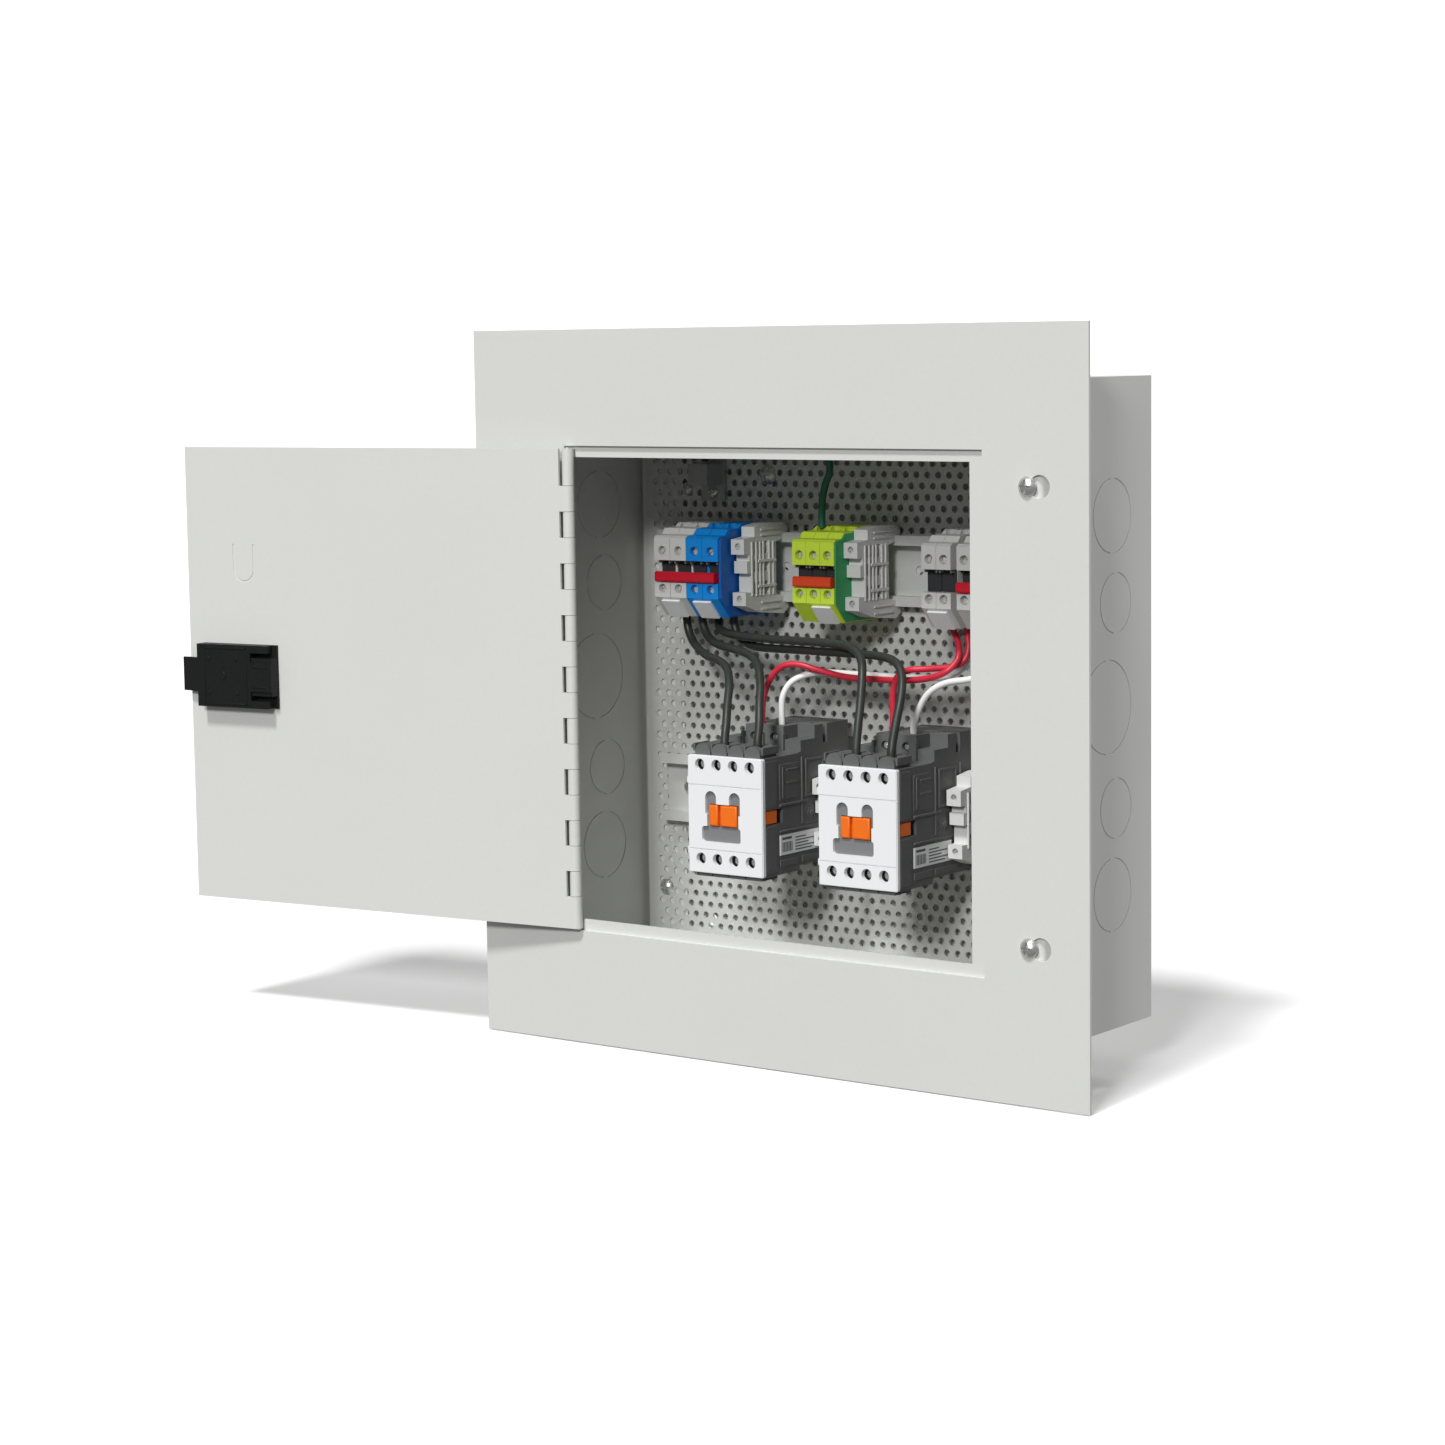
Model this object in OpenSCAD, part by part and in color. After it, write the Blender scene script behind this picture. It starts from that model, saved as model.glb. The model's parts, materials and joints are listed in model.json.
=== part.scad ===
// Flush-mounted load-center cabinet with DIN-rail terminals and two contactors.
// The origin is the centre of the back box's rear face: +X right, +Z up, the front faces -Y.

/* [Back box] */
// Width of the back box
box_w = 304.8; // [303:0.1:307]
// Height of the back box
box_h = 304.8; // [303:0.1:308]
// Depth of the back box
box_d = 101.6; // [101.6:0.1:104]
// Thickness of the box sheet
box_t = 1.5; // [1.4:0.1:1.6]
// Width of the flanges that the trim is screwed to
flange_w = 13; // [12:0.5:14]
// Width of the slot sheared round each knockout
slot_w = 0.6; // [0.4:0.1:0.9]
// Distance of the knockouts' rear edges from the box's back
knockout_back = 21.5; // [20:0.5:24]

/* [Trim and door] */
// Width of the trim
trim_w = 355.6; // [352:0.1:360]
// Height of the trim
trim_h = 355.6; // [352:0.1:360]
// Thickness of the trim and door sheet
trim_t = 1.5; // [1.5:0.1:1.6]
// Height of the door
door_h = 239.2; // [238:0.1:239.6]
// How far the door stands open, in degrees
door_open = 173.5; // [0:0.5:178]
// Diameter of the hinge pin
pin_d = 2.4; // [2.2:0.1:2.4]
// Outside diameter of the rolled hinge knuckles
knuckle_d = 6; // [5.6:0.1:6]

/* [Perforated plate] */
// Width of the perforated plate
plate_w = 289; // [287:1:290]
// Height of the perforated plate
plate_h = 297; // [294:1:298]
// Thickness of the perforated plate
plate_t = 1.2; // [1:0.1:1.4]

/* [DIN rails] */
// Length of each rail
rail_l = 264; // [262:1:270]
// Height of the upper rail's centre line
upper_rail_z = 57.5; // [57:0.5:58]
// Height of the lower rail's centre line
lower_rail_z = -59.5; // [-60:0.5:-59]

/* [Contactors] */
// Width of a contactor's cover
contactor_w = 45; // [45:0.1:45.6]
// How far the contact carrier travels
carrier_travel = 4; // [3:0.5:4]

/* [Wires] */
// Diameter of the black load wires
load_wire_d = 4.2; // [3.6:0.1:4.2]
// Diameter of the red and white control wires
control_wire_d = 3.2; // [2.6:0.1:3.2]
// Diameter of the green ground wire
ground_wire_d = 3.6; // [3:0.1:3.8]

/* [Hidden] */
$fn = 48;
eps = 0.05;

// Colours
paint = [0.84, 0.84, 0.82];
zinc = [0.72, 0.73, 0.72];
bright_steel = [0.8, 0.8, 0.78];
charcoal = [0.22, 0.22, 0.22];
white_plastic = [0.93, 0.93, 0.92];
pale_grey = [0.78, 0.78, 0.76];
mid_grey = [0.5, 0.51, 0.52];
blue = [0.05, 0.5, 0.82];
ground_green = [0.76, 0.88, 0.25];
orange = [0.93, 0.42, 0.1];
red = [0.8, 0.1, 0.17];
copper = [0.8, 0.5, 0.3];
black = [0.1, 0.1, 0.1];

// Planes from the front to the back, each a Y value
front = -(box_d + trim_t);
box_front = -box_d;
back_inner = -box_t;
standoff = 4.5;
plate_back = back_inner - standoff;
plate_front = plate_back - plate_t;
din_h = 7.5;
din_t = 1;
lip = plate_front - din_h;

// Knockouts of one wall: the position along the wall and the diameter of the disc
side_knockouts = [[88.5, 34.5], [48, 28.2], [0, 43.7], [-48, 28.2], [-88.5, 34.5]];
end_knockouts = [[-80, 28.2], [0, 34.5], [80, 28.2]];
tie_w = 4;
web_t = 0.5;

// Where screws go
back_hole_x = 110;
back_hole_z = 130;
back_hole_d = 7;
trim_screw_x = 146;
trim_screw_z = 104.6;
plate_screw_x = 135;
plate_screw_z = 114;
mounting_rail_w = 25;
mounting_rail_x = plate_screw_x;
rail_screw_x = 118;
ground_lug_at = [-99.5, 101];
ground_screw_at = [[-99.5, 94], [-66, 103.4], [-117.5, 95.5]];

// The pocket in the trim that the door closes into, and the opening behind it
pocket_left = -120.8;
pocket_right = 122.2;
pocket_z = 120.9;
opening_right = 114.5;
opening_z = 115.3;
ledge_gap = 0.3;

// Hinge: knuckles of the trim and of the door follow each other down the pin
hinge_x = -117;
hinge_y = front - trim_t;
hinge_pitch = 25.6;
hinge_count = 9;
hinge_top = 107.8;
knuckle_l = 12.6;
knuckle_play = 0.8;
pin_play = 0.05;
door_right = 121;

// The U pressed in the closed door's inner face
mark_x = 84;
mark_z = 56;
mark_r = 7;
mark_l = 13;
mark_w = 1;
mark_depth = 0.25;

// Latch, placed on the closed door
latch_left = 63;
latch_right = 111.6;
latch_z = 16.5;
latch_depth = 8.2;
slide_left = 84;
window_left = 70;
slide_z = 8.9;
slide_front = 3.6;
slide_back = 6.6;
tongue_end = 123.5;
leg_z = 7.6;
leg_gap_z = 12.6;
leg_gap_l = 13.5;

// Terminal blocks: centres along the upper rail, and the shape of one block
grey_left_x = [-98, -88];
blue_x = [-78, -68];
wide_pitch = 10;
ground_x = [-13.7, -5.4, 2.9];
grey_right_x = [61.6, 69.9, 81.4, 89.7];
narrow_pitch = 8.3;
terminal_front = 40;
terminal_screw_z = 9.5;
channel_top = 4.6;
channel_bottom = -6.4;
wire_entry = 20;
marker_x = [-93.5, -74, -1.4, 65.7];
upper_clamp_x = [-56, 12, 99];
lower_clamp_x = [-8.2, 70.4];
clamp_w = 8;

// Contactors
contactor_x = [-35.2, 42.8];
contactor_z = -59;
cover_front = front + 14;
cover_t = 2.5;
body_front = cover_front + cover_t;
body_back = cover_front + 31;
base_back = lip - 0.3;
pole_x = [-15, -5, 5, 15];
screw_up = 24.5;
screw_down = -22;
bay_y = cover_front + 7;
bay_w = 8.4;
coil_terminal_x = 6;
coil_terminal_y = -49;
coil_block_top = 41.4;
coil_block_front = front + 47;
coil_screw_z = 35.6;
side_wall_x = 22.2;
carrier_back = cover_front + 12.5;
carrier_room = carrier_back + carrier_travel;

// Wire routes, each point [x, y, z]
black_route_1 = [
    [-98, -34.8, 35.6], [-98, -34.8, 30], [-96, -35.5, 24], [-91, -37.5, 18.5], [-80, -43, 14],
    [-66, -51, 12.5], [-56, -57.5, 9], [-49.5, -65, 2], [-45.5, -72, -6.5], [-42, -78, -15.5],
    [-40.4, -81.6, -23], [-40.2, -82.1, -29]
];
black_route_2 = [
    [-88, -34.8, 35.6], [-88, -34.8, 30], [-84, -36.5, 23.5], [-75, -40, 19.5], [-60, -46, 18],
    [-46, -53, 16.5], [-36, -59.5, 12.5], [-29, -67, 4], [-24.5, -74, -5], [-21.2, -79, -14],
    [-20.2, -81.8, -22], [-20.2, -82.1, -29]
];
black_route_3 = [
    [-78, -34.8, 35.6], [-78, -34.8, 31], [-74.5, -38, 27], [-64, -42, 25], [-45, -45.5, 24.2],
    [-19, -49.3, 24.2], [6, -53.3, 24.2], [18.5, -57, 23], [26.5, -61, 18.5], [31, -66.5, 11],
    [34.2, -73, -2], [36.4, -78.5, -13], [37.6, -81.8, -22], [37.8, -82.1, -29]
];
black_route_4 = [
    [-68, -34.8, 35.6], [-68, -34.8, 29.5], [-64, -36, 23], [-50, -40.5, 19.3], [-21, -45.3, 19.3],
    [17, -51.2, 19.5], [35, -56, 19.5], [46, -60, 17.5], [52, -64, 12], [55.6, -70, 3],
    [57, -77, -10], [57.7, -81.6, -21], [57.8, -82.1, -29]
];
red_route_1 = [
    [61.6, -34.8, 35.6], [62, -34.9, 32.5], [65, -36, 28.5], [68, -38.5, 24], [69.5, -42.5, 18],
    [65.5, -47.2, 12.5], [55, -47.5, 9], [38, -44, 7], [22, -42, 6.6], [4.5, -41.4, 6.8],
    [-11, -43, 9.6], [-21, -45.2, 12], [-29, -47, 11.3], [-35.5, -48, 6], [-39.8, -48.8, -3],
    [-41.2, -49, -12], [-41.2, -49, -19]
];
red_route_2 = [
    [69.9, -34.8, 35.6], [70.5, -35, 30], [71.5, -35.5, 24], [70.5, -37.5, 18], [65.7, -41, 14.8],
    [54, -44.4, 13.4], [45, -47.4, 12.6], [39.2, -48.6, 9], [36.9, -49, 1], [36.8, -49, -8],
    [36.8, -49, -19]
];
white_route_1 = [
    [81.4, -34.8, 35.6], [80.5, -34, 31], [76, -31.5, 27], [72.5, -31, 21], [69, -32, 15.5],
    [60.5, -34.6, 9.8], [44, -35.6, 7.8], [19, -36.2, 7.8], [2, -36.6, 8], [-12, -38.6, 8],
    [-20.5, -42.2, 6.4], [-26, -46.2, 2.6], [-28.8, -48.6, -4], [-29.2, -49, -12], [-29.2, -49, -19]
];
white_route_2 = [
    [89.7, -34.8, 35.6], [90, -35, 29], [89.5, -37.5, 20], [86, -41, 13.5], [78.8, -44.6, 9.8],
    [66, -47, 7.4], [57.5, -48.8, 2.4], [52, -49, -5.5], [48.8, -49, -14], [48.8, -49, -19]
];
ground_route = [
    [-13.7, -34.8, 79.4], [-13.7, -34.8, 86], [-12, -36.5, 93.5], [-8.5, -39, 100.5],
    [-4.5, -41, 107], [-4, -42.5, 114], [-9, -43, 119.5], [-18, -42, 122], [-36, -38, 123],
    [-58, -33, 122.5], [-78, -27, 121.5], [-91, -20.5, 119.5], [-98, -16.6, 115.5],
    [-99.5, -15.6, 110.5]
];

// ---- Helpers ----

// Extrudes a drawing of X and Z through thickness t, starting at plane y and running back
module slab(y, t) {
    translate([0, y + t, 0])
        rotate([90, 0, 0])
            linear_extrude(t)
                children();
}

// Extrudes a drawing of Y and Z along X, from x0 over a width w
module along_x(x0, w) {
    translate([x0, 0, 0])
        rotate([90, 0, 90])
            linear_extrude(w)
                children();
}

// A block given by its lowest and highest corners
module block(low, high) {
    translate(low)
        cube(high - low);
}

// A round bar along Y, from y0 to y1
module bar_y(x, z, d, y0, y1) {
    translate([x, y1, z])
        rotate([90, 0, 0])
            cylinder(d = d, h = y1 - y0);
}

// A rectangle with rounded corners, centred
module round_rect(w, h, r) {
    square([w - 2 * r, h], center = true);
    square([w, h - 2 * r], center = true);
    for (x = [-1, 1], y = [-1, 1])
        translate([x * (w / 2 - r), y * (h / 2 - r)])
            circle(r = r);
}

// A pan-head screw pointing back along +Y; the origin is under its head
module screw(head_d, head_h, shank_d, shank_l) {
    dome_r = (head_d * head_d / 4 + head_h * head_h) / (2 * head_h);
    rotate([90, 0, 0]) {
        difference() {
            intersection() {
                translate([0, 0, head_h - dome_r])
                    sphere(r = dome_r);
                cylinder(d = head_d + 1, h = head_h + 1);
            }
            for (a = [0, 90])
                rotate(a)
                    translate([-head_d * 0.3, -head_d * 0.06, head_h * 0.45])
                        cube([head_d * 0.6, head_d * 0.12, head_h]);
        }
        translate([0, 0, -shank_l])
            cylinder(d = shank_d, h = shank_l + eps);
    }
}

// A tube of diameter d swept through points p, with n sides
module wire(p, d, n = 8) {
    last = len(p) - 1;
    dirs = [for (i = [0 : last]) unit(p[min(i + 1, last)] - p[max(i - 1, 0)])];
    side = carry(dirs, abs(dirs[0][0]) < 0.8 ? [1, 0, 0] : [0, 1, 0]);
    rings = [
        for (i = [0 : last], k = [0 : n - 1])
            p[i] + (side[i] * cos(360 * k / n) + cross(dirs[i], side[i]) * sin(360 * k / n)) * d / 2
    ];
    walls = [
        for (i = [0 : last - 1], k = [0 : n - 1])
            let (a = i * n + k, b = i * n + (k + 1) % n)
                each [[a, b, b + n], [a, b + n, a + n]]
    ];
    polyhedron(
        rings,
        concat(walls, [[for (k = [n - 1 : -1 : 0]) k]], [[for (k = [0 : n - 1]) last * n + k]])
    );
}

// Carries the sideways direction v along a path without letting it twist
function carry(dirs, v, i = 0) =
    i == len(dirs) ? [] : let (s = unit(v - (v * dirs[i]) * dirs[i])) concat([s], carry(dirs, s, i + 1));

// A smooth path through the given points, with m steps between each two
function smooth(p, m) = [
    for (i = [0 : len(p) - 2], s = [0 : m - 1])
        curve_point(p[max(i - 1, 0)], p[i], p[i + 1], p[min(i + 2, len(p) - 1)], s / m),
    p[len(p) - 1]
];
function curve_point(a, b, c, d, t) =
    (2 * b + (c - a) * t + (2 * a - 5 * b + 4 * c - d) * t * t
        + (3 * b - a - 3 * c + d) * t * t * t) / 2;
function unit(v) = v / norm(v);

// A coil spring along Z from 0 to l
module coil_spring(r, wire_d, turns, l) {
    steps = 14 * turns;
    wire(
        [
            for (i = [0 : steps])
                [
                    r * cos(360 * turns * i / steps),
                    r * sin(360 * turns * i / steps),
                    wire_d / 2 + (l - wire_d) * i / steps
                ]
        ],
        wire_d, 6
    );
}

// ---- Back box ----

// The grooves sheared round a knockout disc from both sides, with a thin web left between them
// and a tie at each end of the local Y axis
module knockout_slot(d) {
    difference() {
        cylinder(d = d + slot_w, h = 4 * box_t, center = true);
        cylinder(d = d - slot_w, h = 5 * box_t, center = true);
        cube([tie_w, 2 * d, 6 * box_t], center = true);
        cylinder(d = 2 * d, h = web_t, center = true);
    }
}

// The folded sheet that makes the back, both sides and the two trim flanges
module box_wrap() {
    color(paint)
        difference() {
            translate([0, -box_d / 2, -box_h / 2 + box_t])
                linear_extrude(box_h - 2 * box_t)
                    difference() {
                        round_rect(box_w, box_d, 2 * box_t);
                        round_rect(box_w - 2 * box_t, box_d - 2 * box_t, box_t);
                        translate([0, -box_d / 2])
                            square([box_w - 2 * flange_w, box_d / 2], center = true);
                    }
            for (side = [-1, 1], k = side_knockouts)
                translate([side * (box_w - box_t) / 2, -knockout_back - k[1] / 2, k[0]])
                    rotate([90, 0, 90])
                        knockout_slot(k[1]);
            for (x = [-1, 1], z = [-1, 1]) {
                bar_y(x * back_hole_x, z * back_hole_z, back_hole_d, -2 * box_t, box_t);
                bar_y(x * trim_screw_x, z * trim_screw_z, 4.2, box_front - 1, box_front + 3);
            }
        }
}

// An end wall with its tabs turned towards the box's middle; z is +1 for the top, -1 for the bottom
module box_end(z) {
    tab = 12;
    inner = box_w / 2 - box_t;
    mirror([0, 0, z < 0 ? 1 : 0])
        translate([0, 0, box_h / 2 - box_t])
            difference() {
                union() {
                    translate([0, -box_d / 2, 0])
                        linear_extrude(box_t)
                            round_rect(box_w, box_d, 2 * box_t);
                    for (x = [-inner, inner - box_t])
                        block([x, -box_d + 8, -tab], [x + box_t, -8, eps]);
                }
                for (k = end_knockouts)
                    translate([k[0], -knockout_back - k[1] / 2, box_t / 2])
                        rotate(90)
                            knockout_slot(k[1]);
            }
}

module box_top() {
    color(paint)
        box_end(1);
}

module box_bottom() {
    color(paint)
        box_end(-1);
}

// A channel on the box's back that the perforated plate is screwed to
module mounting_rail(x) {
    half = mounting_rail_w / 2;
    color(paint)
        translate([x, 0, 0])
            difference() {
                block([-half, plate_back, -145], [half, back_inner, 145]);
                block([-half + box_t, plate_back + box_t, -146], [half - box_t, 0, 146]);
                for (z = [-1, 1])
                    bar_y(0, z * plate_screw_z, 4.2, plate_back - 1, 0);
            }
}

module mounting_rail_left() {
    mounting_rail(-mounting_rail_x);
}

module mounting_rail_right() {
    mounting_rail(mounting_rail_x);
}

// ---- Perforated plate ----

module perforated_plate() {
    color(zinc)
        slab(plate_front, plate_t)
            difference() {
                square([plate_w, plate_h], center = true);
                for (x = [-1, 1], z = [-1, 1])
                    translate([x * plate_screw_x, z * plate_screw_z])
                        circle(d = 5.4);
                for (x = [-1, 1], z = [upper_rail_z, lower_rail_z])
                    translate([x * rail_screw_x, z])
                        circle(d = 4.2);
                for (at = ground_screw_at)
                    translate(at)
                        circle(d = 4.4);
            }
}

module plate_screws() {
    color(bright_steel)
        for (x = [-1, 1], z = [-1, 1])
            translate([x * plate_screw_x, plate_front, z * plate_screw_z])
                screw(9, 2.6, 4.2, 5);
}

// ---- Trim and door ----

// The hole in the trim that hooks over a screw's head, its wide end towards the box's side
module keyhole(x, z) {
    translate([x, z]) {
        circle(d = 5.2);
        translate([6.4, 0])
            circle(d = 10.8);
        translate([3.2, 0])
            square([6.4, 5.2], center = true);
    }
}

// One rolled knuckle from z0 to z1, joined to a sheet edge x_to
module knuckle(z0, z1, x_to) {
    difference() {
        union() {
            translate([hinge_x, hinge_y, z0])
                cylinder(d = knuckle_d, h = z1 - z0);
            block([min(hinge_x, x_to), front, z0], [max(hinge_x, x_to), front + trim_t, z1]);
        }
        translate([hinge_x, hinge_y, z0 - 1])
            cylinder(r = pin_d / 2 + pin_play, h = z1 - z0 + 2);
    }
}

module trim() {
    wall = trim_t;
    depth = 2 * trim_t + ledge_gap;
    pocket_w = pocket_right - pocket_left;
    color(paint) {
        slab(front, trim_t)
            difference() {
                square([trim_w, trim_h], center = true);
                translate([pocket_left, -pocket_z])
                    square([pocket_w, 2 * pocket_z]);
                for (x = [-1, 1], z = [-1, 1])
                    keyhole(x * trim_screw_x, z * trim_screw_z);
            }
        // Joggled ledge on three sides that the closed door rests on
        slab(front + trim_t - eps, depth - trim_t + eps)
            difference() {
                translate([pocket_left, -pocket_z - wall])
                    square([pocket_w + wall, 2 * (pocket_z + wall)]);
                translate([pocket_left - wall, -pocket_z])
                    square([pocket_w + wall, 2 * pocket_z]);
            }
        slab(front + trim_t + ledge_gap, trim_t)
            difference() {
                translate([pocket_left, -pocket_z - wall / 2])
                    square([pocket_w + wall / 2, 2 * pocket_z + wall]);
                translate([pocket_left - wall, -opening_z])
                    square([opening_right - pocket_left + wall, 2 * opening_z]);
            }
        for (k = [0 : hinge_count - 1]) {
            z = hinge_top - k * hinge_pitch;
            knuckle(z - knuckle_l / 2, k == 0 ? door_h / 2 : z + knuckle_l / 2, pocket_left - 1);
        }
    }
}

module trim_screws() {
    color(bright_steel)
        for (x = [-1, 1], z = [-1, 1])
            translate([x * trim_screw_x, front, z * trim_screw_z])
                screw(9.6, 3, 4.2, 12);
}

module hinge_pin() {
    head = 0.7;
    color(bright_steel)
        translate([hinge_x, hinge_y, -door_h / 2 - head]) {
            cylinder(d = pin_d, h = door_h + 2 * head);
            for (z = [0, door_h + head])
                translate([0, 0, z])
                    cylinder(d = pin_d + 1.4, h = head);
        }
}

// Swings what is drawn in the door's closed place to where the door stands
module on_door() {
    translate([hinge_x, hinge_y, 0])
        rotate(-door_open)
            translate([-hinge_x, -hinge_y, 0])
                children();
}

module door() {
    edge = hinge_x + knuckle_d / 2 + knuckle_play;
    cut_w = latch_right - latch_left + 0.2;
    color(paint)
        on_door() {
            difference() {
                slab(front, trim_t)
                    difference() {
                        translate([edge, -door_h / 2])
                            square([door_right - edge, door_h]);
                        translate([latch_left - 0.1, -latch_z - 0.1])
                            square([cut_w, 2 * latch_z + 0.2]);
                    }
                slab(front + trim_t - mark_depth, mark_depth + 1)
                    translate([mark_x, mark_z])
                        u_mark();
            }
            for (k = [0 : hinge_count - 1]) {
                z = hinge_top - (k + 0.5) * hinge_pitch;
                last = k == hinge_count - 1;
                knuckle(last ? -door_h / 2 : z - knuckle_l / 2, z + knuckle_l / 2, edge + 1);
            }
        }
}

// A shallow U pressed in the door's inner face
module u_mark() {
    difference() {
        union() {
            circle(r = mark_r);
            translate([-mark_r, 0])
                square([2 * mark_r, mark_l]);
        }
        circle(r = mark_r - mark_w);
        translate([mark_w - mark_r, 0])
            square([2 * (mark_r - mark_w), mark_l + 1]);
    }
}

// The latch's case: a bezel on the door's outside and a box through the door
module latch_housing() {
    bezel = 2.5;
    window_right = 99;
    color(black)
        on_door()
            difference() {
                union() {
                    block(
                        [latch_left - bezel, front - 1.5, -latch_z - bezel],
                        [latch_right + bezel, front, latch_z + bezel]
                    );
                    block([latch_left, front - eps, -latch_z], [latch_right, front + latch_depth, latch_z]);
                }
                // Channel of the slide, and the window that its thumb pad works in
                block(
                    [window_left, front + slide_front - 0.3, -slide_z - 0.3],
                    [latch_right + bezel + 1, front + slide_back + 0.3, slide_z + 0.3]
                );
                block([window_left, front - 2, -slide_z - 0.3], [window_right, front + slide_front, slide_z + 0.3]);
                // Gaps beside the snap leg, and the shorter corners outside them
                for (side = [0, 1])
                    mirror([0, 0, side]) {
                        block(
                            [latch_left - 1, front + slide_back + 0.8, leg_z],
                            [latch_left + leg_gap_l, front + latch_depth + 1, leg_gap_z]
                        );
                        block(
                            [latch_left - 1, front + 3, slide_z + 1],
                            [latch_left + leg_gap_l, front + latch_depth + 1, leg_gap_z]
                        );
                        block(
                            [latch_left - 1, front + 3, slide_z + 1],
                            [latch_left + 2.8, front + latch_depth + 1, latch_z + 1]
                        );
                    }
            }
}

// The latch's bolt, with its thumb pad on the door's outside
module latch_slide() {
    color(charcoal)
        on_door() {
            block([slide_left, front + slide_front, -slide_z], [latch_right, front + slide_back, slide_z]);
            translate([0, 0, -slide_z])
                linear_extrude(2 * slide_z)
                    polygon([
                        [latch_right - 1, front + slide_front],
                        [tongue_end, front + slide_front],
                        [tongue_end, front + slide_front + 1.2],
                        [latch_right + 3, front + slide_back],
                        [latch_right - 1, front + slide_back]
                    ]);
            block([slide_left, front - 0.8, -8], [slide_left + 13, front + slide_front + eps, 8]);
            for (x = [2, 5.5, 9])
                block([slide_left + x, front - 1.6, -7], [slide_left + x + 1.6, front - 0.7, 7]);
        }
}

module latch_spring() {
    color(bright_steel)
        on_door()
            translate([window_left, front + (slide_front + slide_back) / 2, 0])
                rotate([0, 90, 0])
                    coil_spring(1.35, 0.4, 6, slide_left - window_left);
}

// ---- DIN rails ----

module din_rail(z) {
    half = 17.5;
    web = 13.5;
    color(bright_steel)
        translate([-rail_l / 2, 0, z])
            along_x(0, rail_l)
                difference() {
                    union() {
                        translate([plate_front - din_t, -web])
                            square([din_t, 2 * web]);
                        for (s = [-1, 1]) {
                            translate([lip, s > 0 ? web - din_t : -web])
                                square([din_h, din_t]);
                            translate([lip, s > 0 ? web - din_t : -half])
                                square([din_t, half - web + din_t]);
                        }
                    }
                }
}

module upper_din_rail() {
    difference() {
        din_rail(upper_rail_z);
        rail_holes(upper_rail_z);
    }
}

module lower_din_rail() {
    difference() {
        din_rail(lower_rail_z);
        rail_holes(lower_rail_z);
    }
}

// Slots along a rail's web, two of them taken by its screws
module rail_holes(z) {
    for (x = [-rail_screw_x, -54, 26, rail_screw_x])
        bar_y(x, z, 4.4, plate_front - 3, plate_front + 1);
}

module rail_screws() {
    color(bright_steel)
        for (x = [-1, 1], z = [upper_rail_z, lower_rail_z])
            translate([x * rail_screw_x, plate_front - din_t, z])
                screw(7.6, 2.4, 4, 5);
}

// ---- Grounding ----

// A lug on the plate that the ground wire drops into
module ground_lug() {
    color(bright_steel)
        translate([ground_lug_at[0], plate_front, ground_lug_at[1]])
            difference() {
                union() {
                    block([-7.5, -2, -11], [7.5, 0, 10]);
                    block([-6, -15, -3], [6, -1.9, 8]);
                }
                translate([0, -8.4, -4])
                    cylinder(d = 5.4, h = 14);
                bar_y(0, ground_screw_at[0][1] - ground_lug_at[1], 3.8, -3, 1);
            }
}

module ground_screws() {
    color(bright_steel) {
        translate([ground_screw_at[0][0], plate_front - 2, ground_screw_at[0][1]])
            screw(6.4, 2, 3.6, 5);
        translate([ground_screw_at[1][0], plate_front, ground_screw_at[1][1]])
            screw(10.5, 3.2, 4.2, 5);
        translate([ground_screw_at[2][0], plate_front, ground_screw_at[2][1]])
            screw(7, 2.2, 3.6, 5);
    }
}

// ---- Terminal blocks ----

// One block's outline in depth and height, measured from the rail's lips and centre line
module terminal_outline(top) {
    polygon([
        [-terminal_front, -14], [-38.6, -15.4], [-31, -23.8], [0.2, -23.8],
        [4.4, -20.5], [4.4, -15.6], [2.6, -15.6], [1.3, -17.7], [-0.2, -17.7],
        [-0.2, 17.7], [1.3, 17.7], [2.6, 15.6], [4.4, 15.6], [4.4, 20.5],
        [0.2, top], [-19.5, top], [-22, top - 1.8], [-31, top - 2.2], [-33.5, 17.4], [-38.4, 17],
        [-terminal_front, 15.8], [-terminal_front, channel_top], [-34, channel_top],
        [-34, channel_bottom], [-terminal_front, channel_bottom]
    ]);
}

// A block centred at x, with its screw shafts and wire entries
module terminal(x, w) {
    translate([x, lip, upper_rail_z])
        difference() {
            along_x(-w / 2, w)
                terminal_outline(22.4);
            for (z = [-1, 1]) {
                bar_y(0, z * terminal_screw_z, 4.6, -terminal_front - 1, -22);
                translate([0, -wire_entry, z > 0 ? 12 : -30])
                    cylinder(d = 5, h = 18);
            }
        }
}

module terminals_grey_left() {
    color(pale_grey)
        for (x = grey_left_x)
            terminal(x, wide_pitch - 0.2);
}

module terminals_blue() {
    color(blue)
        for (x = blue_x)
            terminal(x, wide_pitch - 0.2);
}

module terminals_ground() {
    color(ground_green)
        for (x = ground_x)
            terminal(x, narrow_pitch - 0.2);
}

module terminals_grey_right() {
    color(pale_grey)
        for (x = grey_right_x)
            terminal(x, narrow_pitch - 0.2);
}

module terminal_screws() {
    color(bright_steel)
        for (x = concat(grey_left_x, blue_x, ground_x, grey_right_x), s = [-1, 1])
            bar_y(
                x, upper_rail_z + s * terminal_screw_z, 4.2,
                lip - terminal_front + 5, lip - wire_entry - load_wire_d / 2 - 0.4
            );
}

// Blank tags clipped to the slope under the blocks' front faces
module terminal_markers() {
    color(white_plastic)
        for (x = marker_x)
            translate([x, lip, upper_rail_z])
                along_x(-5.5, 11)
                    polygon([[-38.8, -15.2], [-31.2, -23.6], [-32.1, -24.4], [-39.7, -16]]);
}

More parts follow.
